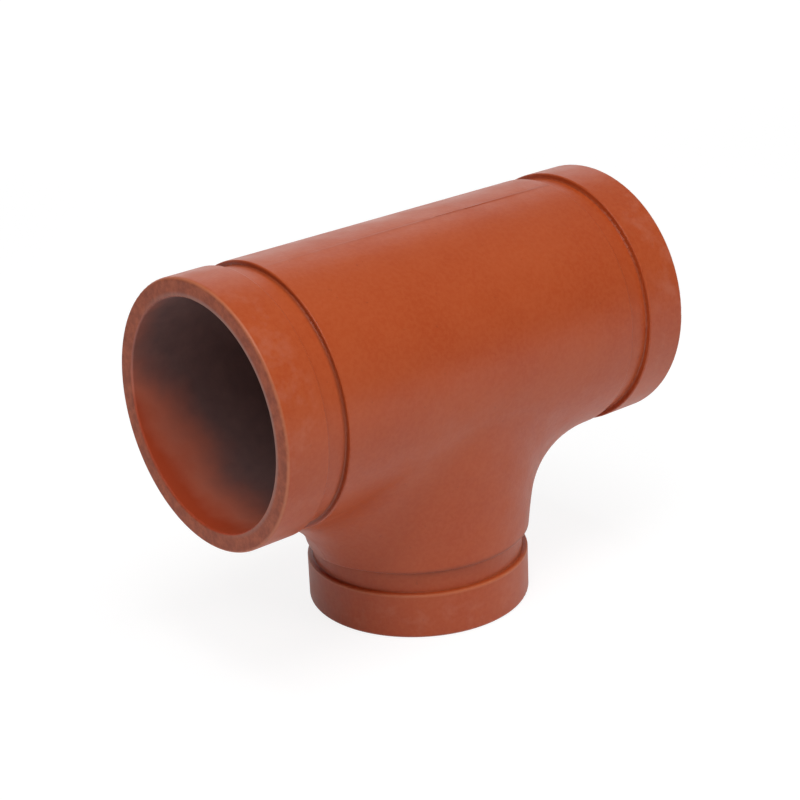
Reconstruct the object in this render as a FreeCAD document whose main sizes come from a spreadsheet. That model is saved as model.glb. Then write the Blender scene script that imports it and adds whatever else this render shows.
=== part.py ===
import FreeCAD, Part
import os
import Sketcher

# Grooved reducing tee, one ductile-iron casting: an 88.9 mm run with a 76.1 mm branch.
# It stands on its branch. The origin is the middle of the branch's end face, the run lies along X.
# The steps follow the real one: a barrel and a neck cast with a wide sweep, then turned at the three ends.

# Driving sizes in mm, with what each one means
SIZES = [
    ("run_pipe_dia", 88.9, "outside diameter of the pipe on the run"),
    ("branch_pipe_dia", 76.1, "outside diameter of the pipe on the branch"),
    ("run_reach", 85.0, "from the crossing of the centre lines to each end of the run"),
    ("branch_reach", 89.0, "from the crossing of the centre lines to the end of the branch"),
    ("collar_width", 15.88, "gasket seat, from the end face to the groove"),
    ("groove_width", 7.95, "width of the coupling grooves"),
    ("run_groove_depth", 1.98, "depth of the grooves on the run"),
    ("branch_groove_depth", 1.93, "depth of the groove on the branch"),
    ("cast_drop", 0.3, "how far the cast skin lies below the turned collars, and cast collars above them"),
    ("run_wall", 6.4, "wall of the run at its ends"),
    ("branch_wall", 6.0, "wall of the branch at its end"),
    ("neck_sink", 7.0, "how far below the collar's inner edge the neck starts, hidden inside the collar"),
    ("neck_growth", 31.0, "growth of the neck's half length, from its foot to the run's centre line"),
    ("neck_side_gap", 0.9, "how far inside the run's skin the neck's sides end, at the run's centre line"),
    ("sweep_radius", 32.0, "sweep between neck and run"),
    ("crotch_radius", 6.0, "inner blend where the two bores cross"),
    ("rim_round", 1.2, "rounding of each end face's outer edge"),
    ("mouth_round", 0.8, "rounding of each bore's mouth"),
    ("key_round", 0.6, "rounding of the grooves' edges and corners"),
]

# Lengths and radii that follow from the driving sizes
RUN_END = "sizes.run_reach"
COLLAR_END = "sizes.collar_width"
GROOVE_END = "(sizes.collar_width + sizes.groove_width)"
RUN_RADIUS = "sizes.run_pipe_dia / 2"
BRANCH_RADIUS = "sizes.branch_pipe_dia / 2"
RUN_GROOVE = f"({RUN_RADIUS} - sizes.run_groove_depth)"
BRANCH_GROOVE = f"({BRANCH_RADIUS} - sizes.branch_groove_depth)"
RUN_CAST = f"({RUN_RADIUS} - sizes.cast_drop)"
BRANCH_CAST = f"({BRANCH_RADIUS} - sizes.cast_drop)"
RUN_BORE = f"({RUN_RADIUS} - sizes.run_wall)"
BRANCH_BORE = f"({BRANCH_RADIUS} - sizes.branch_wall)"
CENTRE_HEIGHT = "sizes.branch_reach"
UNDERSIDE = f"({CENTRE_HEIGHT} - {RUN_CAST})"

# The neck opens like a horn: upright at its foot, and growing with the square of the height
NECK_FOOT = f"({COLLAR_END} - sizes.neck_sink)"
NECK_SHARE = f"(({UNDERSIDE} - {NECK_FOOT}) / ({CENTRE_HEIGHT} - {NECK_FOOT})) ^ 2"
NECK_TOP_LENGTH = f"({BRANCH_CAST} + sizes.neck_growth)"
NECK_TOP_WIDTH = f"({RUN_CAST} - sizes.neck_side_gap)"
NECK_WAIST_LENGTH = f"({BRANCH_CAST} + sizes.neck_growth * {NECK_SHARE})"
NECK_WAIST_WIDTH = f"({BRANCH_CAST} + ({NECK_TOP_WIDTH} - {BRANCH_CAST}) * {NECK_SHARE})"

# The sweep is held back by the neck's foot, or by the rounded end of the run
SWEEP_ROOM = f"(min({UNDERSIDE} - {NECK_FOOT}; {RUN_END} - {BRANCH_CAST}) - sizes.rim_round)"
SWEEP_RADIUS = f"min(sizes.sweep_radius; {SWEEP_ROOM})"

# The turning cuts stand out past the collars and the end faces by a collar's width
RUN_CLEAR = f"({RUN_RADIUS} + {COLLAR_END})"
BRANCH_CLEAR = f"({BRANCH_RADIUS} + {COLLAR_END})"

# A measured place counts as found within this distance, and a cut counts from this volume
NEAR = 0.01
LEAST_CUT = 1.0


def make_sizes(doc):
    """The sheet of driving sizes, a row each: meaning and value."""
    sheet = doc.addObject("Spreadsheet::Sheet", "sizes")
    for row, (alias, value, meaning) in enumerate(SIZES, start=1):
        sheet.set(f"A{row}", meaning)
        sheet.set(f"B{row}", str(value))
        sheet.setAlias(f"B{row}", alias)
    doc.recompute()


def value_of(item, expression):
    """The number that an expression on the sheet gives."""
    return float(item.evalExpression(expression))


def attach_sketch(body, name, role, height="0"):
    """An empty sketch on one of the body's own planes, lifted to a height."""
    sketch = body.newObject("Sketcher::SketchObject", name)
    plane = next(f for f in body.Origin.OriginFeatures if f.Role == role)
    sketch.AttachmentSupport = [(plane, "")]
    sketch.MapMode = "FlatFace"
    upward = "z" if role == "XY_Plane" else "y"
    sketch.setExpression(f"AttachmentOffset.Base.{upward}", height)
    return sketch


def add_size(sketch, constraint_kind, *where, expression):
    """A measured constraint on the sketch that follows an expression."""
    start = value_of(sketch, expression)
    index = sketch.addConstraint(Sketcher.Constraint(constraint_kind, *where, start))
    sketch.setExpression(f"Constraints[{index}]", expression)


def tie(sketch, corner, kind, axis, expression):
    """Tie one coordinate of a corner to the sketch's axis or to a size."""
    if expression == "0":
        sketch.addConstraint(Sketcher.Constraint("PointOnObject", corner, 1, axis))
        return
    add_size(sketch, kind, -1, 1, corner, 1, expression=expression)


def draw_outline(sketch, corners):
    """A closed outline of straight lines whose corners follow the sheet."""
    first = sketch.GeometryCount
    places = [FreeCAD.Vector(value_of(sketch, x), value_of(sketch, y), 0) for x, y in corners]
    for start, end in zip(places, places[1:] + places[:1]):
        sketch.addGeometry(Part.LineSegment(start, end), False)
    for i in range(len(corners)):
        following = first + (i + 1) % len(corners)
        sketch.addConstraint(Sketcher.Constraint("Coincident", first + i, 2, following, 1))
    for i, (x, y) in enumerate(corners, start=first):
        tie(sketch, i, "DistanceX", -2, x)
        tie(sketch, i, "DistanceY", -1, y)


def turn(body, kind, name, sketch, axis):
    """The sketch revolved a full turn about one of its own axes, to add or to cut."""
    feature = body.newObject(f"PartDesign::{kind}", name)
    feature.Profile = sketch
    feature.ReferenceAxis = (sketch, [axis])
    feature.Angle = 360
    body.Document.recompute()
    return feature


def check_cut(feature, before):
    """Stop where a cut took nothing away."""
    if feature.Shape.Volume > before - LEAST_CUT:
        raise RuntimeError(f"{feature.Name} cut nothing")


def add_barrel(body):
    """The run as cast: a plain round barrel from end to end."""
    sketch = attach_sketch(body, "barrel_section", "XZ_Plane", CENTRE_HEIGHT)
    draw_outline(sketch, [
        (f"-({RUN_END})", "0"),
        (RUN_END, "0"),
        (RUN_END, RUN_CAST),
        (f"-({RUN_END})", RUN_CAST),
    ])
    turn(body, "Revolution", "run_barrel", sketch, "H_Axis")


def add_collars(body):
    """The collars as cast at all three ends, with metal to spare for the lathe."""
    run_stock = f"{RUN_RADIUS} + sizes.cast_drop"
    sketch = attach_sketch(body, "run_collar_section", "XZ_Plane", CENTRE_HEIGHT)
    for side in ("", "-"):
        draw_outline(sketch, [
            (f"{side}({RUN_END} - {COLLAR_END})", "0"),
            (f"{side}({RUN_END})", "0"),
            (f"{side}({RUN_END})", run_stock),
            (f"{side}({RUN_END} - {COLLAR_END})", run_stock),
        ])
    turn(body, "Revolution", "run_collars", sketch, "H_Axis")
    branch_stock = f"{BRANCH_RADIUS} + sizes.cast_drop"
    sketch = attach_sketch(body, "branch_collar_section", "XZ_Plane")
    draw_outline(sketch, [("0", "0"), (branch_stock, "0"), (branch_stock, COLLAR_END), ("0", COLLAR_END)])
    turn(body, "Revolution", "branch_collar", sketch, "V_Axis")


def centred_circle(sketch, radius):
    """A circle about the sketch's zero, its radius given by an expression."""
    circle = Part.Circle(FreeCAD.Vector(0, 0, 0), FreeCAD.Vector(0, 0, 1), value_of(sketch, radius))
    sketch.addGeometry(circle, False)
    sketch.addConstraint(Sketcher.Constraint("Coincident", 0, 3, -1, 1))
    add_size(sketch, "Radius", 0, expression=radius)


def centred_ellipse(sketch, half_length, half_width):
    """An ellipse about the sketch's zero, long along X."""
    along = FreeCAD.Vector(value_of(sketch, half_length), 0, 0)
    across = FreeCAD.Vector(0, value_of(sketch, half_width), 0)
    sketch.addGeometry(Part.Ellipse(along, across, FreeCAD.Vector(0, 0, 0)), False)
    sketch.exposeInternalGeometry(0)
    sketch.addConstraint(Sketcher.Constraint("Coincident", 0, 3, -1, 1))
    sketch.addConstraint(Sketcher.Constraint("Horizontal", 1))
    add_size(sketch, "DistanceX", -1, 1, 1, 1, expression=half_length)
    add_size(sketch, "DistanceY", -1, 1, 2, 1, expression=half_width)


def add_neck(body):
    """The cast neck, a horn lofted from a round foot inside the collar to a long oval inside the run."""
    foot = attach_sketch(body, "neck_foot", "XY_Plane", NECK_FOOT)
    centred_circle(foot, BRANCH_CAST)
    waist = attach_sketch(body, "neck_waist", "XY_Plane", UNDERSIDE)
    centred_ellipse(waist, NECK_WAIST_LENGTH, NECK_WAIST_WIDTH)
    top = attach_sketch(body, "neck_top", "XY_Plane", CENTRE_HEIGHT)
    centred_ellipse(top, NECK_TOP_LENGTH, NECK_TOP_WIDTH)
    neck = body.newObject("PartDesign::AdditiveLoft", "neck")
    neck.Profile = foot
    neck.Sections = [waist, top]
    body.Document.recompute()


def turn_ends(body):
    """Collars and coupling grooves, turned in one cut at each end, also through the ends of the sweep."""
    before = body.Tip.Shape.Volume
    sketch = attach_sketch(body, "run_turning", "XZ_Plane", CENTRE_HEIGHT)
    for side in ("", "-"):
        draw_outline(sketch, [
            (f"{side}({RUN_END} - {GROOVE_END})", RUN_GROOVE),
            (f"{side}({RUN_END} - {COLLAR_END})", RUN_GROOVE),
            (f"{side}({RUN_END} - {COLLAR_END})", RUN_RADIUS),
            (f"{side}({RUN_END} + {COLLAR_END})", RUN_RADIUS),
            (f"{side}({RUN_END} + {COLLAR_END})", RUN_CLEAR),
            (f"{side}({RUN_END} - {GROOVE_END})", RUN_CLEAR),
        ])
    check_cut(turn(body, "Groove", "run_turned", sketch, "H_Axis"), before)
    before = body.Tip.Shape.Volume
    sketch = attach_sketch(body, "branch_turning", "XZ_Plane")
    draw_outline(sketch, [
        (BRANCH_GROOVE, GROOVE_END),
        (BRANCH_GROOVE, COLLAR_END),
        (BRANCH_RADIUS, COLLAR_END),
        (BRANCH_RADIUS, f"-{COLLAR_END}"),
        (BRANCH_CLEAR, f"-{COLLAR_END}"),
        (BRANCH_CLEAR, GROOVE_END),
    ])
    check_cut(turn(body, "Groove", "branch_turned", sketch, "V_Axis"), before)


def bore(body, name, role, radius, centre, depth=None):
    """A round hole along the plane's normal: right through both ways, or up to a depth."""
    sketch = attach_sketch(body, f"{name}_circle", role, centre)
    centred_circle(sketch, radius)
    before = body.Tip.Shape.Volume
    pocket = body.newObject("PartDesign::Pocket", name)
    pocket.Profile = sketch
    if depth is None:
        pocket.Type = "ThroughAll"
        pocket.SideType = "Symmetric"
    else:
        pocket.Reversed = True
        pocket.setExpression("Length", depth)
    body.Document.recompute()
    check_cut(pocket, before)


def edges_where(shape, test):
    """The names of the edges that pass a test."""
    return [f"Edge{i}" for i, edge in enumerate(shape.Edges, start=1) if test(edge)]


def middle_of(edge):
    """The point halfway along an edge."""
    return edge.valueAt((edge.FirstParameter + edge.LastParameter) / 2)


def is_crossing(edge, reach, height):
    """True for an edge where a surface from below meets a round one about the run's centre line."""
    middle = middle_of(edge)
    off_line = (middle.y ** 2 + (middle.z - height) ** 2) ** 0.5
    is_plain = isinstance(edge.Curve, (Part.Circle, Part.Line))
    return not is_plain and abs(off_line - reach) < NEAR and middle.z < height


def is_ring(edge, axis, place, radius):
    """True for a circle about a centre line, or an arc of it, at a place along that line."""
    curve = edge.Curve
    if not isinstance(curve, Part.Circle) or abs(curve.Radius - radius) > NEAR:
        return False
    along = curve.Center.x if axis == "X" else curve.Center.z
    return abs(along - place) < NEAR and abs(getattr(curve.Axis, axis.lower())) > 1 - NEAR


def is_shoulder(edge, axis, place, height, least):
    """True for an edge in the plane where a groove ends, no nearer to its centre line than the cast skin."""
    points = [edge.valueAt(edge.FirstParameter), middle_of(edge), edge.valueAt(edge.LastParameter)]
    if any(abs(getattr(point, axis.lower()) - place) > NEAR for point in points):
        return False
    middle = points[1]
    across = (middle.y, middle.z - height) if axis == "X" else (middle.x, middle.y)
    return (across[0] ** 2 + across[1] ** 2) ** 0.5 > least - NEAR


def round_edges(body, name, base, edges, radius):
    """Round the named edges of the base feature by a size on the sheet."""
    if not edges:
        raise RuntimeError(f"{name} found no edge")
    fillet = body.newObject("PartDesign::Fillet", name)
    fillet.Base = (base, edges)
    fillet.setExpression("Radius", radius)
    body.Document.recompute()


def blend_crossing(body, name, reach, radius):
    """Blend the edges where neck or branch bore meets the run at a distance from its centre line."""
    base = body.Tip
    limits = value_of(body, reach), value_of(body, CENTRE_HEIGHT)
    round_edges(body, name, base, edges_where(base.Shape, lambda edge: is_crossing(edge, *limits)), radius)


def ring_edges(body, rings):
    """The edges of the body's last shape along each ring in a list of (axis, place, radius) expressions."""
    found = []
    for axis, place, radius in rings:
        limits = axis, value_of(body, place), value_of(body, radius)
        edges = edges_where(body.Tip.Shape, lambda edge: is_ring(edge, *limits))
        if not edges:
            raise RuntimeError(f"no ring at {place} along {axis}")
        found += edges
    return found


def shoulder_edges(body, shoulders):
    """The edges round each shoulder in a list of (axis, place, least radius) expressions."""
    height = value_of(body, CENTRE_HEIGHT)
    found = []
    for axis, place, least in shoulders:
        limits = axis, value_of(body, place), height, value_of(body, least)
        edges = edges_where(body.Tip.Shape, lambda edge: is_shoulder(edge, *limits))
        if not edges:
            raise RuntimeError(f"no shoulder at {place} along {axis}")
        found += edges
    return found


def at_ends(from_end, run_radius, branch_radius):
    """The same place on all three ends: its distance from the end face, and its radii."""
    return [
        ("X", f"{sign}1 * ({RUN_END} - {from_end})", run_radius) for sign in "-+"
    ] + [("Z", from_end, branch_radius)]


doc = FreeCAD.newDocument("grooved_reducing_tee")
make_sizes(doc)
body = doc.addObject("PartDesign::Body", "tee_body")
body.Label = "tee_body"
add_barrel(body)
add_neck(body)
blend_crossing(body, "neck_sweep", RUN_CAST, SWEEP_RADIUS)
add_collars(body)
turn_ends(body)
bore(body, "run_bore", "YZ_Plane", RUN_BORE, CENTRE_HEIGHT)
bore(body, "branch_bore", "XY_Plane", BRANCH_BORE, "0", CENTRE_HEIGHT)
blend_crossing(body, "bore_crotch", RUN_BORE, "sizes.crotch_radius")
rims = ring_edges(body, at_ends("0", RUN_RADIUS, BRANCH_RADIUS))
round_edges(body, "rims", body.Tip, rims, "sizes.rim_round")
mouths = ring_edges(body, at_ends("0", RUN_BORE, BRANCH_BORE))
round_edges(body, "mouths", body.Tip, mouths, "sizes.mouth_round")
groove_rings = (
    at_ends(COLLAR_END, RUN_RADIUS, BRANCH_RADIUS)
    + at_ends(COLLAR_END, RUN_GROOVE, BRANCH_GROOVE)
    + at_ends(GROOVE_END, RUN_GROOVE, BRANCH_GROOVE)
)
keys = ring_edges(body, groove_rings) + shoulder_edges(body, at_ends(GROOVE_END, RUN_CAST, BRANCH_CAST))
round_edges(body, "groove_edges", body.Tip, keys, "sizes.key_round")
doc.recompute()
for item in doc.Objects:
    if "Invalid" in item.State or "Error" in item.State:
        raise RuntimeError(f"{item.Label} failed: {item.State}")
os.makedirs("parts", exist_ok=True)
shape = body.Shape
if shape.isNull() or not shape.isValid() or len(shape.Solids) != 1:
    raise RuntimeError("tee_body is not one valid solid")
shape.exportStep("parts/tee_body.step")
print("tee_body", round(shape.Volume), shape.BoundBox)
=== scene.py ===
import functools
import math
from types import SimpleNamespace

import bpy
from mathutils import Matrix, Vector


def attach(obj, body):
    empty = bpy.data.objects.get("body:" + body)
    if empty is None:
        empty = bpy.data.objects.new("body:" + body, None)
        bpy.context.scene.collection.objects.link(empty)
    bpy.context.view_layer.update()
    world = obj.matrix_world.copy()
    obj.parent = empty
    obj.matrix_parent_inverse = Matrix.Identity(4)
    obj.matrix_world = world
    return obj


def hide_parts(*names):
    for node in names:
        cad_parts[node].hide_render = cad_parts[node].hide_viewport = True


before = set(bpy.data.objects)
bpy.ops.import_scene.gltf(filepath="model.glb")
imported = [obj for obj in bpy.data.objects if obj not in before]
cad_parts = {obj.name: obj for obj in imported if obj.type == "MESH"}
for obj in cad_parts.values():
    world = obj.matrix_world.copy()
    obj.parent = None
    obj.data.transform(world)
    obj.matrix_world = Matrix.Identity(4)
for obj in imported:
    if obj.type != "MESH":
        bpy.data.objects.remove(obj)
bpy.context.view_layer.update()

MM = 0.001

# The tee's own sizes in millimetres, as its casting and turning give them. COLLAR_WIDTH and
# GROOVE_END count from an end face, and the cast skin lies CAST_DROP lower than the collars.
RUN_HEIGHT = 89.0
RUN_REACH = 85.0
RUN_RADIUS = 44.45
RUN_BORE_RADIUS = 38.05
RUN_GROOVE_RADIUS = 42.47
BRANCH_RADIUS = 38.05
BRANCH_BORE_RADIUS = 32.05
BRANCH_GROOVE_RADIUS = 36.12
COLLAR_WIDTH = 15.88
GROOVE_END = 23.83
CAST_DROP = 0.3
RUN_MIDDLE = Vector((0, 0, RUN_HEIGHT * MM))

# How far the ridges keep from the grooves' shoulders and from the bores' walls
SHOULDER_GAP = 0.3
WALL_GAP = 1.0

# The low ridges where the parts of the mould met: one on top of the run, a little in front of the
# middle, and one along the middle of the underside and down both flanks of the neck.
TOP_RIDGE = -4.6
NECK_RIDGE = 0.0

# Half widths of a ridge at its foot and crest, the spacing of the cuts across it, how near counts
# as on a cut, and how far a selection stays inside the foot
RIDGE_FOOT = 1.1
RIDGE_CREST = 0.15
RIDGE_STEP = 3.0
HAIR = 0.01
INSET = 0.05

# What the grinder left of each ridge: start, end and height of every stretch
TOP_STRETCHES = [
    (-60.0, -38.0, 0.05),
    (-38.0, -14.0, 0.08),
    (-14.0, 6.0, 0.12),
    (6.0, 44.0, 0.16),
    (44.0, 60.0, 0.12),
]
NECK_STRETCHES = [(-60.0, 60.0, 0.08)]

# Corners closer than this are one corner, and bends softer than this are smooth
WELD = 0.002
SMOOTH_DEGREES = 35.0

# Sizes of the finish's patterns in millimetres, as spray gun, handling, sand and lathe leave them.
# Real grains of sand are 0.3 mm across and real turned rings 0.2 mm apart. Both are too fine to
# show in the render, so they are drawn 1.4 mm and 0.9 mm.
SHADE_SIZE = 38.0
MOTTLE_SIZE = 1.4
DUST_SIZE = 2.2
BLOOM_SIZE = 7.0
THIN_PATCH_SIZE = 3.0
SPRAY_EDGE_SIZE = 14.0
IRON_SIZE = 6.0
CHIP_SIZE = 2.6
GLOSS_SIZE = 9.0
GRAIN_SIZE = 1.4
SWELL_SIZE = 12.0
RING_GAP = 0.9
FIBRE_SIZE = 3.0

# Heights of the relief in millimetres
SWELL_HEIGHT = 0.16
GRAIN_HEIGHT = 0.05
TURNED_GRAIN_HEIGHT = 0.02
RING_HEIGHT = 0.003
CHIP_DEPTH = 0.05

# Softboxes: azimuth from the front towards +X and elevation in degrees, distance and side in
# metres, power in watts, and whether the gloss shows the lamp
SOFTBOXES = {
    "top_softbox": (-20, 75, 1.2, 0.6, 7.4, False),
    "left_softbox": (-60, 50, 1.2, 0.6, 3.2, True),
    "right_softbox": (20, 25, 1.2, 0.6, 3.0, False),
    "back_softbox": (150, 20, 1.1, 1.0, 2.9, True),
    "side_softbox": (90, 30, 1.1, 1.0, 0.5, True),
}
FLOOR_RADIUS = 6.0

# The camera, found from the ends, the collars and the outline: angles in degrees, its distance from
# the run's middle in millimetres, and its focal length and that middle's place in the shot's pixels
CAMERA_AZIMUTH = -39.29
CAMERA_ELEVATION = 21.72
CAMERA_ROLL = -2.5
CAMERA_DISTANCE = 706.07
FOCAL_PIXELS = 2120.19
SHOT_PIXELS = 800.0
MIDDLE_ACROSS = 409.28
MIDDLE_DOWN = 347.2
SENSOR_WIDTH = 36.0


def linear(hex_colour):
    """An sRGB hex colour as linear red, green, blue and alpha."""
    parts = [int(hex_colour[i:i + 2], 16) / 255 for i in (1, 3, 5)]
    return [p / 12.92 if p <= 0.04045 else ((p + 0.055) / 1.055) ** 2.4 for p in parts] + [1.0]


def add_node(tree, kind, inputs=(), **settings):
    """A shader node with its settings.

    Its inputs, in order or by name, are values, nodes or the outputs of nodes.
    """
    node = tree.nodes.new("ShaderNode" + kind)
    for name, value in settings.items():
        setattr(node, name, value)
    sockets = [socket for socket in node.inputs if socket.enabled]
    by_name = {socket.name: socket for socket in reversed(sockets)}
    named = inputs.items() if isinstance(inputs, dict) else enumerate(inputs)
    for key, value in named:
        socket = by_name[key] if isinstance(key, str) else sockets[key]
        if isinstance(value, bpy.types.Node):
            value = next(output for output in value.outputs if output.enabled)
        if isinstance(value, bpy.types.NodeSocket):
            tree.links.new(value, socket)
        else:
            socket.default_value = value
    return node


def empty_tree(owner):
    """The node tree of a material or world, cleared, and a short way to add nodes to it."""
    owner.use_nodes = True
    owner.node_tree.nodes.clear()
    return functools.partial(add_node, owner.node_tree)


def only(piece):
    """Select one object alone and make it the active one."""
    if bpy.context.object and bpy.context.object.mode != "OBJECT":
        bpy.ops.object.mode_set(mode="OBJECT")
    bpy.ops.object.select_all(action="DESELECT")
    piece.select_set(True)
    bpy.context.view_layer.objects.active = piece


def is_cast_skin(place, on_top):
    """True for a point, in millimetres, of the skin between the grooves, on the top or below it."""
    off_run = math.hypot(place.y, place.z - RUN_HEIGHT)
    off_branch = math.hypot(place.x, place.y)
    off_run_ends = abs(place.x) < RUN_REACH - GROOVE_END - SHOULDER_GAP
    off_branch_end = place.z > GROOVE_END + SHOULDER_GAP
    in_run_bore = off_run < RUN_RADIUS - CAST_DROP - WALL_GAP
    in_branch_bore = off_branch < BRANCH_BORE_RADIUS + WALL_GAP and place.z < RUN_HEIGHT
    outside = not in_run_bore and not in_branch_bore
    return (place.z > RUN_HEIGHT) == on_top and off_run_ends and off_branch_end and outside


def select_strip(piece, middle, on_top, half_width):
    """Select the skin's faces that reach into a strip along one ridge, in millimetres."""
    bpy.ops.object.mode_set(mode="EDIT")
    bpy.ops.mesh.select_mode(type="FACE")
    bpy.ops.mesh.select_all(action="DESELECT")
    bpy.ops.object.mode_set(mode="OBJECT")
    corners = piece.data.vertices
    for face in piece.data.polygons:
        across = [corners[i].co.y / MM - middle for i in face.vertices]
        in_strip = min(across) < half_width and max(across) > -half_width
        face.select = in_strip and is_cast_skin(face.center / MM, on_top)
    bpy.ops.object.mode_set(mode="EDIT")


def raise_ridge(piece, middle, on_top, stretches):
    """Cut a narrow strip along a ridge, divide it across, and lift its crest by what is left."""
    only(piece)
    for side in (-RIDGE_FOOT, -RIDGE_CREST, RIDGE_CREST, RIDGE_FOOT):
        select_strip(piece, middle, on_top, RIDGE_FOOT + HAIR)
        bpy.ops.mesh.bisect(plane_co=(0, (middle + side) * MM, 0), plane_no=(0, 1, 0))
    select_strip(piece, middle, on_top, RIDGE_FOOT - INSET)
    bpy.ops.mesh.hide(unselected=True)
    reach = RUN_REACH - GROOVE_END
    for i in range(1, int(2 * reach / RIDGE_STEP)):
        bpy.ops.mesh.select_all(action="SELECT")
        bpy.ops.mesh.bisect(plane_co=((i * RIDGE_STEP - reach) * MM, 0, 0), plane_no=(1, 0, 0))
    bpy.ops.mesh.reveal()
    bpy.ops.mesh.select_mode(type="VERT")
    for start, end, height in stretches:
        bpy.ops.mesh.select_all(action="DESELECT")
        bpy.ops.object.mode_set(mode="OBJECT")
        for vertex in piece.data.vertices:
            place = vertex.co / MM
            on_crest = abs(abs(place.y - middle) - RIDGE_CREST) < HAIR
            here = start <= place.x < end
            vertex.select = on_crest and here and is_cast_skin(place, on_top)
        bpy.ops.object.mode_set(mode="EDIT")
        bpy.ops.transform.shrink_fatten(value=height * MM)
    bpy.ops.object.mode_set(mode="OBJECT")


def make_casting():
    """The frame's own shape with its seams merged, its ridges raised and its normals evened."""
    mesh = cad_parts["tee_body"].data.copy()
    mesh.materials.clear()
    casting = bpy.data.objects.new("tee_casting", mesh)
    bpy.context.scene.collection.objects.link(casting)
    only(casting)
    bpy.ops.mesh.customdata_custom_splitnormals_clear()
    bpy.ops.object.mode_set(mode="EDIT")
    bpy.ops.mesh.select_all(action="SELECT")
    bpy.ops.mesh.remove_doubles(threshold=WELD * MM)
    bpy.ops.object.mode_set(mode="OBJECT")
    raise_ridge(casting, TOP_RIDGE, True, TOP_STRETCHES)
    raise_ridge(casting, NECK_RIDGE, False, NECK_STRETCHES)
    bpy.ops.object.shade_smooth_by_angle(angle=math.radians(SMOOTH_DEGREES))
    even = casting.modifiers.new("even_normals", "WEIGHTED_NORMAL")
    even.keep_sharp = True
    bpy.ops.object.modifier_apply(modifier=even.name)
    return casting


def nearest_ring(add, *rings):
    """Distance from the nearest of some rings.

    Each is given by the profile it is seen in, its radius and its distance from the end face.
    """
    nearest = None
    for profile, radius, inward in rings:
        centre = (radius * MM, inward * MM, 0)
        away = add("VectorMath", (profile, centre), operation="DISTANCE")
        nearest = add("Math", (nearest, away), operation="MINIMUM") if nearest else away
    return nearest


def find_places(add):
    """Where a point lies on the tee: distances in metres, and shares from 0 outside to 1 inside."""
    at = SimpleNamespace()
    at.place = add("TexCoord").outputs["Object"]
    at.axes = add("SeparateXYZ", (at.place,)).outputs
    at.from_middle = add("VectorMath", (at.place, RUN_MIDDLE), operation="SUBTRACT")
    across_run = add("VectorMath", (at.from_middle, (0, 1, 1)), operation="MULTIPLY")
    at.off_run = add("VectorMath", (across_run,), operation="LENGTH")
    across_branch = add("VectorMath", (at.place, (1, 1, 0)), operation="MULTIPLY")
    at.off_branch = add("VectorMath", (across_branch,), operation="LENGTH")
    along = add("Math", (at.axes["X"],), operation="ABSOLUTE")
    at.run_depth = add("Math", (RUN_REACH * MM, along), operation="SUBTRACT")
    at.branch_depth = at.axes["Z"]
    at.depth = add("Math", (at.run_depth, at.branch_depth), operation="MINIMUM")

    # Inside the bores, the branch's ending where it meets the run's
    outer, inner = (RUN_BORE_RADIUS + 0.7) * MM, (RUN_BORE_RADIUS + 0.1) * MM
    in_run = add("MapRange", (at.off_run, outer, inner))
    outer, inner = (BRANCH_BORE_RADIUS + 0.7) * MM, (BRANCH_BORE_RADIUS + 0.1) * MM
    in_branch = add("MapRange", (at.off_branch, outer, inner))
    below_run = add("MapRange", (at.axes["Z"], 64.0 * MM, 62.0 * MM))
    in_branch = add("Math", (in_branch, below_run), operation="MULTIPLY")
    at.inside = add("Math", (in_run, in_branch), operation="MAXIMUM")

    # Outside, where the lathe has been: everything from the groove's shoulder to the end face
    start, full = (GROOVE_END + 0.2) * MM, (GROOVE_END - 0.2) * MM
    turned_run = add("MapRange", (at.run_depth, start, full))
    at.turned_branch = add("MapRange", (at.branch_depth, start, full))
    turned = add("Math", (turned_run, at.turned_branch), operation="MAXIMUM")
    at.turned = add("Math", (turned, at.inside), operation="SUBTRACT", use_clamp=True)

    # The end faces
    on_run_face = add("MapRange", (at.run_depth, 0.5 * MM, 0.1 * MM))
    on_branch_face = add("MapRange", (at.branch_depth, 0.5 * MM, 0.1 * MM))
    at.face = add("Math", (on_run_face, on_branch_face), operation="MAXIMUM")

    # Distances from the mouths, the faces' outer rims, the branch's ledge and the grooves' corners
    run = add("CombineXYZ", (at.off_run, at.run_depth))
    branch = add("CombineXYZ", (at.off_branch, at.branch_depth))
    at.mouth = nearest_ring(add, (run, RUN_BORE_RADIUS, 0), (branch, BRANCH_BORE_RADIUS, 0))
    at.rim = nearest_ring(add, (run, RUN_RADIUS, 0), (branch, BRANCH_RADIUS, 0))
    at.branch_ledge = nearest_ring(add, (branch, BRANCH_RADIUS, COLLAR_WIDTH))
    at.near_corner = nearest_ring(
        add,
        (run, RUN_GROOVE_RADIUS, COLLAR_WIDTH),
        (branch, BRANCH_GROOVE_RADIUS, COLLAR_WIDTH),
    )
    at.run_far = nearest_ring(add, (run, RUN_GROOVE_RADIUS, GROOVE_END))
    at.branch_far = nearest_ring(
        add,
        (branch, BRANCH_GROOVE_RADIUS, GROOVE_END),
        (branch, BRANCH_RADIUS - CAST_DROP, GROOVE_END),
    )

    # The upper front, where the rims get a painted highlight and the mouths a painted reflection
    up_front = add("VectorMath", (at.from_middle, (0, -0.85, 0.5)), operation="DOT_PRODUCT")
    at.to_front = add("MapRange", (up_front, -16.0 * MM, 24.0 * MM))
    return at


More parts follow.
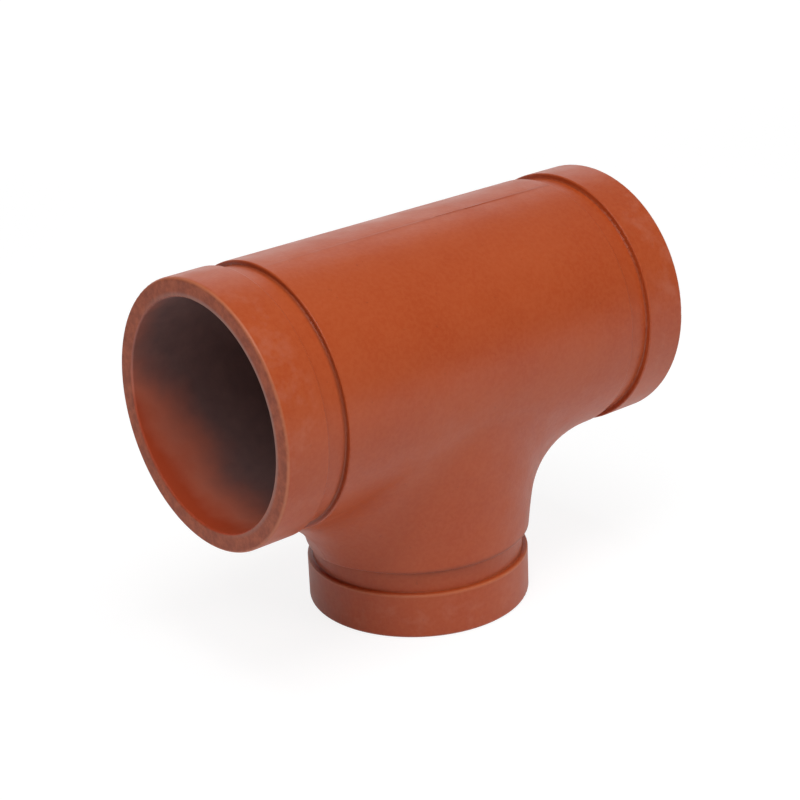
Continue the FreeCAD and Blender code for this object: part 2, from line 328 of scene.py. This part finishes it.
def find_spray_reach(add, at):
    """Where, a little way in from the nearest mouth, the overspray turns drier and paler, partly as
    a painted highlight of the lit bore wall, and where past it the iron is bare.

    Its edge wavers, and it lies deeper along the bottom of the run than along the top.
    """
    scale = 1 / (SPRAY_EDGE_SIZE * MM)
    cloud = add("TexNoise", {"Vector": at.place, "Scale": scale, "Detail": 4.0})
    drift = add("MapRange", (cloud, 0.0, 1.0, -7.0 * MM, 7.0 * MM))
    reach = add("Math", (at.depth, drift), operation="ADD")
    rise = add("SeparateXYZ", (at.from_middle,)).outputs["Z"]
    lag = add(
        "MapRange", (rise, -22.0 * MM, 16.0 * MM, -8.0 * MM, 13.0 * MM),
        interpolation_type="SMOOTHSTEP",
    )
    reach = add("Math", (reach, lag), operation="ADD")
    dry_and_highlight = add("MapRange", (reach, -4.0 * MM, 5.0 * MM))
    bare = add("MapRange", (reach, 1.0 * MM, 24.0 * MM), interpolation_type="SMOOTHSTEP")
    bare = add("Math", (at.inside, bare), operation="MULTIPLY")
    return dry_and_highlight, bare


def find_bloom(add, at):
    """Where the collars are rubbed, away from the ledge, as other tees lay on them."""
    start, full = (COLLAR_WIDTH - 0.5) * MM, (COLLAR_WIDTH - 6.0) * MM
    off_ledge = add("MapRange", (at.depth, start, full))
    on_collar = add("Math", (off_ledge, at.inside), operation="SUBTRACT", use_clamp=True)
    scale = 1 / (BLOOM_SIZE * MM)
    bloom = add("TexNoise", {"Vector": at.place, "Scale": scale, "Detail": 6.0, "Roughness": 0.65})
    bloom = add("MapRange", (bloom, 0.48, 0.68, 0.0, 0.32))
    return add("Math", (bloom, on_collar), operation="MULTIPLY")


def find_chips(add, at):
    """Where the coat is chipped, here and there along the rims."""
    scale = 1 / (CHIP_SIZE * MM)
    chips = add("TexNoise", {"Vector": at.place, "Scale": scale, "Detail": 5.0, "Roughness": 0.65})
    chips = add("MapRange", (chips, 0.6, 0.66))
    near_rim = add("MapRange", (at.rim, 0.8 * MM, 0.3 * MM))
    return add("Math", (chips, near_rim), operation="MULTIPLY")


def colour_enamel(add, at):
    """Two close shades in broad clouds, a fine mottle, and a few grains of dust in the coat."""
    scale = 1 / (SHADE_SIZE * MM)
    shade = add("TexNoise", {"Vector": at.place, "Scale": scale, "Detail": 3.0})
    shade = add("MapRange", (shade, 0.3, 0.7), interpolation_type="SMOOTHSTEP")
    colour = add("Mix", (shade, linear("#AE451A"), linear("#B44D22")), data_type="RGBA")
    scale = 1 / (MOTTLE_SIZE * MM)
    mottle = add("TexNoise", {"Vector": at.place, "Scale": scale, "Detail": 3.0, "Roughness": 0.6})
    mottle = add("MapRange", (mottle, 0.38, 0.62, 0.0, 0.28))
    colour = add("Mix", (mottle, colour, linear("#BE5F34")), data_type="RGBA")
    scale = 1 / (DUST_SIZE * MM)
    dust = add("TexNoise", {"Vector": at.place, "Scale": scale, "Detail": 5.0, "Roughness": 0.7})
    dust = add("MapRange", (dust, 0.66, 0.72, 0.0, 0.35))
    return add("Mix", (dust, colour, linear("#74301B")), data_type="RGBA")


def colour_grooves(add, at, colour):
    """Dirt and painted shade in the grooves' corners, darker where the corner's occlusion falls:
    how far off it starts, how far off it is full, its share.
    """
    grime_and_shade = 0.0
    for corner, start, full, most in (
        (at.run_far, 1.6, 0.3, 0.5),
        (at.branch_far, 1.9, 0.3, 0.5),
        (at.near_corner, 0.7, 0.2, 0.35),
    ):
        here = add(
            "MapRange", (corner, start * MM, full * MM, 0.0, most), interpolation_type="SMOOTHSTEP",
        )
        grime_and_shade = add("Math", (grime_and_shade, here), operation="MAXIMUM")
    # The dark brown here is partly dirt and partly painted shade in the corners
    return add("Mix", (grime_and_shade, colour, linear("#74321C")), data_type="RGBA")


def colour_top_ridge(add, at, colour):
    """Dust along the top ridge, more to the right, where the grinder left it highest."""
    across = add("Math", (at.axes["Y"], TOP_RIDGE * MM), operation="SUBTRACT")
    across = add("Math", (across,), operation="ABSOLUTE")
    dust = add(
        "MapRange", (across, 1.3 * MM, 0.3 * MM, 0.0, 0.3), interpolation_type="SMOOTHSTEP",
    )
    low, high = (RUN_HEIGHT + 40.0) * MM, (RUN_HEIGHT + 42.0) * MM
    on_top = add("MapRange", (at.axes["Z"], low, high))
    on_skin = add("Math", (1.0, at.turned), operation="SUBTRACT")
    rightward = add("MapRange", (at.axes["X"], -40.0 * MM, 20.0 * MM, 0.25, 1.0))
    for share in (on_top, on_skin, rightward):
        dust = add("Math", (dust, share), operation="MULTIPLY")
    return add("Mix", (dust, colour, linear("#8E3A24")), data_type="RGBA")


def colour_faces(add, at, colour):
    """The thin coat of the end faces, which the spray met edge on, with a painted reflection, pale
    lavender-grey, on the mouths' upper front.
    """
    scale = 1 / (THIN_PATCH_SIZE * MM)
    patchy = add("TexNoise", {"Vector": at.place, "Scale": scale, "Detail": 6.0, "Roughness": 0.7})
    patchy = add("MapRange", (patchy, 0.38, 0.62))
    thin = add("Mix", (patchy, linear("#98482F"), linear("#BA6040")), data_type="RGBA")
    # Painted reflection: pale lavender-grey on the mouths' rounded edges at the upper front,
    # standing for the white floor seen in them
    mouth_reflection = add(
        "MapRange", (at.mouth, 2.2 * MM, 0.6 * MM, 0.0, 0.7), interpolation_type="SMOOTHSTEP",
    )
    mouth_reflection = add("Math", (mouth_reflection, at.to_front), operation="MULTIPLY")
    thin = add("Mix", (mouth_reflection, thin, linear("#A88C84")), data_type="RGBA")
    share = add("Math", (at.face, 0.9), operation="MULTIPLY")
    return add("Mix", (share, colour, thin), data_type="RGBA")


def colour_bores(add, at, dry_and_highlight, bare, colour):
    """Overspray in the mouths, drier and paler a little way in, partly as a painted highlight of
    the lit bore wall, over brown iron.
    """
    # The paler overspray stands partly for drier spray and partly for a painted highlight on the
    # lit bore wall
    overspray = add("Mix", (dry_and_highlight, linear("#C04C2A"), linear("#D4745A")), data_type="RGBA")
    colour = add("Mix", (at.inside, colour, overspray), data_type="RGBA")
    scale = 1 / (IRON_SIZE * MM)
    iron = add("TexNoise", {"Vector": at.place, "Scale": scale, "Detail": 6.0, "Roughness": 0.6})
    iron = add("Mix", (iron, linear("#6C5250"), linear("#8C6A66")), data_type="RGBA")
    return add("Mix", (bare, colour, iron), data_type="RGBA")


def colour_edges(add, at, chips, colour):
    """A painted highlight on the rims, strongest at the upper front, and on the branch's ledge, and
    the grey-brown undercoat in the chips.
    """
    # Painted highlight: pale orange-pink on the rims, strongest at the upper front, and on the
    # branch's ledge
    rim_highlight_share = add("MapRange", (at.to_front, 0.0, 1.0, 0.2, 0.65))
    rim_highlight = add("MapRange", (at.rim, 1.0 * MM, 0.4 * MM))
    rim_highlight = add("Math", (rim_highlight, rim_highlight_share), operation="MULTIPLY")
    ledge_highlight = add("MapRange", (at.branch_ledge, 1.1 * MM, 0.4 * MM, 0.0, 0.4))
    painted_highlight = add("Math", (rim_highlight, ledge_highlight), operation="MAXIMUM")
    colour = add("Mix", (painted_highlight, colour, linear("#D28460")), data_type="RGBA")
    share = add("Math", (chips, 0.55), operation="MULTIPLY")
    return add("Mix", (share, colour, linear("#8A6458")), data_type="RGBA")


def find_roughness(add, at, bare, bloom):
    """Satin on the skin, duller where the coat is thin, rubbed or missing."""
    scale = 1 / (GLOSS_SIZE * MM)
    satin = add("TexNoise", {"Vector": at.place, "Scale": scale, "Detail": 4.0})
    satin = add("MapRange", (satin, 0.3, 0.7, 0.36, 0.46))
    dull = add("Math", (at.face, 0.6), operation="MULTIPLY")
    dull = add("Math", (dull, bare), operation="MAXIMUM")
    dull = add("Math", (dull, bloom), operation="MAXIMUM")
    return add("Mix", (dull, satin, 0.74), data_type="FLOAT")


def find_relief(add, at, chips):
    """Grains of moulding sand under the coat on the skin, fine turned rings on the ends, chips."""
    scale = 1 / (GRAIN_SIZE * MM)
    grains = add("TexNoise", {"Vector": at.place, "Scale": scale, "Detail": 4.0, "Roughness": 0.55})
    scale = 1 / (SWELL_SIZE * MM)
    swells = add("TexNoise", {"Vector": at.place, "Scale": scale, "Detail": 2.0})
    cast_grains = add("Math", (grains, GRAIN_HEIGHT * MM), operation="MULTIPLY")
    cast = add("Math", (swells, SWELL_HEIGHT * MM, cast_grains), operation="MULTIPLY_ADD")

    # The tool's way over an end, inwards along it and outwards over its face
    run_way = add("Math", (at.run_depth, at.off_run), operation="ADD")
    branch_way = add("Math", (at.branch_depth, at.off_branch), operation="ADD")
    way = add("Mix", (at.turned_branch, run_way, branch_way), data_type="FLOAT")
    rings = add("Math", (way, math.tau / (RING_GAP * MM)), operation="MULTIPLY")
    rings = add("Math", (rings,), operation="SINE")
    turned_grains = add("Math", (grains, TURNED_GRAIN_HEIGHT * MM), operation="MULTIPLY")
    turned = add("Math", (rings, RING_HEIGHT * MM, turned_grains), operation="MULTIPLY_ADD")

    relief = add("Mix", (at.turned, cast, turned), data_type="FLOAT")
    return add("Math", (chips, -CHIP_DEPTH * MM, relief), operation="MULTIPLY_ADD")


def paint_casting():
    """Satin enamel sprayed in one go on a sand-cast iron tee with turned ends.

    The eye gets a soft even sheen on a slightly pebbled skin, finer turned collars, a thinner and
    duller coat on the end faces, chipped rims with a painted highlight at the upper front and on
    the branch's ledge, a painted lavender-grey reflection at the mouths' upper front, dirt and
    painted shade in the grooves' corners, and overspray that fades into brown iron in the bores,
    paler a little way in partly as a painted highlight.
    """
    enamel = bpy.data.materials.new("sprayed_enamel_on_cast_iron")
    add = empty_tree(enamel)
    at = find_places(add)
    dry_and_highlight, bare = find_spray_reach(add, at)
    bloom = find_bloom(add, at)
    chips = find_chips(add, at)

    colour = colour_enamel(add, at)
    colour = colour_grooves(add, at, colour)
    colour = add("Mix", (bloom, colour, linear("#C0745C")), data_type="RGBA")
    colour = colour_top_ridge(add, at, colour)
    colour = colour_faces(add, at, colour)
    colour = colour_bores(add, at, dry_and_highlight, bare, colour)
    colour = colour_edges(add, at, chips, colour)

    roughness = find_roughness(add, at, bare, bloom)
    relief = find_relief(add, at, chips)
    bump = add("Bump", {"Height": relief, "Strength": 1.0, "Distance": 1.0})
    shader = add(
        "BsdfPrincipled", {"Base Color": colour, "Roughness": roughness, "Normal": bump},
    )
    add("OutputMaterial", {"Surface": shader})
    return enamel


def paint_floor():
    """Matt white paper.

    It lights the tee from below as paper does, and shows white with a faint shadow. Further off, in
    metres, it shows whiter, as a lit backdrop does, so that no horizon is seen.
    """
    near, far = 0.5, 1.5
    near_white, far_white, gloss_white = 0.75, 0.88, 0.42
    paper = bpy.data.materials.new("matt_white_paper")
    add = empty_tree(paper)
    place = add("TexCoord").outputs["Object"]
    scale = 1 / (FIBRE_SIZE * MM)
    fibre = add("TexNoise", {"Vector": place, "Scale": scale, "Detail": 3.0})
    colour = add("Mix", (fibre, linear("#EAEAEA"), linear("#EEEEEE")), data_type="RGBA")
    plain = add("BsdfDiffuse", {"Color": colour})
    white = add("Emission", {"Color": linear("#FFFFFF"), "Strength": 1.14})
    rays = add("LightPath").outputs
    seen = add("Math", (rays["Is Camera Ray"], rays["Is Transmission Ray"]), operation="MAXIMUM")
    away = add("VectorMath", (place,), operation="LENGTH")
    whiteness = add(
        "MapRange", (away, near, far, near_white, far_white), interpolation_type="SMOOTHSTEP",
    )
    seen = add("Math", (seen, whiteness), operation="MULTIPLY")
    share = add("Math", (rays["Is Glossy Ray"], gloss_white, seen), operation="MULTIPLY_ADD")
    both = add("MixShader", (share, plain, white))
    add("OutputMaterial", {"Surface": both})
    return paper


def make_floor():
    """The floor that the tee stands on."""
    bpy.ops.object.select_all(action="DESELECT")
    bpy.ops.mesh.primitive_circle_add(
        vertices=96, radius=FLOOR_RADIUS, fill_type="NGON", location=(0, 0, 0),
    )
    floor = bpy.context.object
    floor.name = "floor"
    floor.data.materials.append(paint_floor())


def make_world():
    """A white backdrop to the camera, and a low even fill on the tee."""
    fill, backdrop = 0.12, 1.0
    world = bpy.data.worlds.new("white_room")
    bpy.context.scene.world = world
    add = empty_tree(world)
    rays = add("LightPath").outputs
    seen = add("Math", (rays["Is Camera Ray"], rays["Is Transmission Ray"]), operation="MAXIMUM")
    strength = add("Mix", (seen, fill, backdrop), data_type="FLOAT")
    sky = add("Background", {"Color": linear("#FFFFFF"), "Strength": strength})
    add("OutputWorld", {"Surface": sky})


def way_out(azimuth, elevation):
    """The direction out from the tee at an azimuth and elevation in degrees."""
    turn, rise = math.radians(azimuth), math.radians(elevation)
    return Vector((
        math.sin(turn) * math.cos(rise),
        -math.cos(turn) * math.cos(rise),
        math.sin(rise),
    ))


def add_softbox(name, azimuth, elevation, distance, side, power, in_gloss):
    """A square lamp aimed at the run's middle."""
    lamp = bpy.data.lights.new(name, "AREA")
    lamp.shape = "SQUARE"
    lamp.size = side
    lamp.energy = power
    holder = bpy.data.objects.new(name, lamp)
    bpy.context.scene.collection.objects.link(holder)
    out = way_out(azimuth, elevation)
    holder.location = RUN_MIDDLE + out * distance
    holder.rotation_euler = (-out).to_track_quat("-Z", "Y").to_euler()
    holder.visible_glossy = in_gloss


def make_camera():
    """The camera where the photographer stood, slid so that the run's middle is where it was."""
    distance, roll = CAMERA_DISTANCE * MM, math.radians(CAMERA_ROLL)
    back = way_out(CAMERA_AZIMUTH, CAMERA_ELEVATION)
    level = (-back).cross(Vector((0, 0, 1))).normalized()
    upright = level.cross(-back)
    right = level * math.cos(roll) + upright * math.sin(roll)
    up = upright * math.cos(roll) - level * math.sin(roll)
    slide = (MIDDLE_ACROSS - SHOT_PIXELS / 2) * distance / FOCAL_PIXELS
    lift = (MIDDLE_DOWN - SHOT_PIXELS / 2) * distance / FOCAL_PIXELS
    camera = bpy.data.objects.new("camera", bpy.data.cameras.new("camera"))
    bpy.context.scene.collection.objects.link(camera)
    pose = Matrix((right, up, back)).transposed().to_4x4()
    pose.translation = RUN_MIDDLE + back * distance - right * slide + up * lift
    camera.matrix_world = pose
    camera.data.sensor_width = SENSOR_WIDTH
    camera.data.lens = FOCAL_PIXELS / SHOT_PIXELS * SENSOR_WIDTH
    bpy.context.scene.camera = camera


casting = make_casting()
casting.data.materials.append(paint_casting())
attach(casting, "root")
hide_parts("tee_body")

make_floor()
make_world()
for name, settings in SOFTBOXES.items():
    add_softbox(name, *settings)
make_camera()
bpy.context.scene.view_settings.view_transform = "Standard"

bpy.context.view_layer.update()
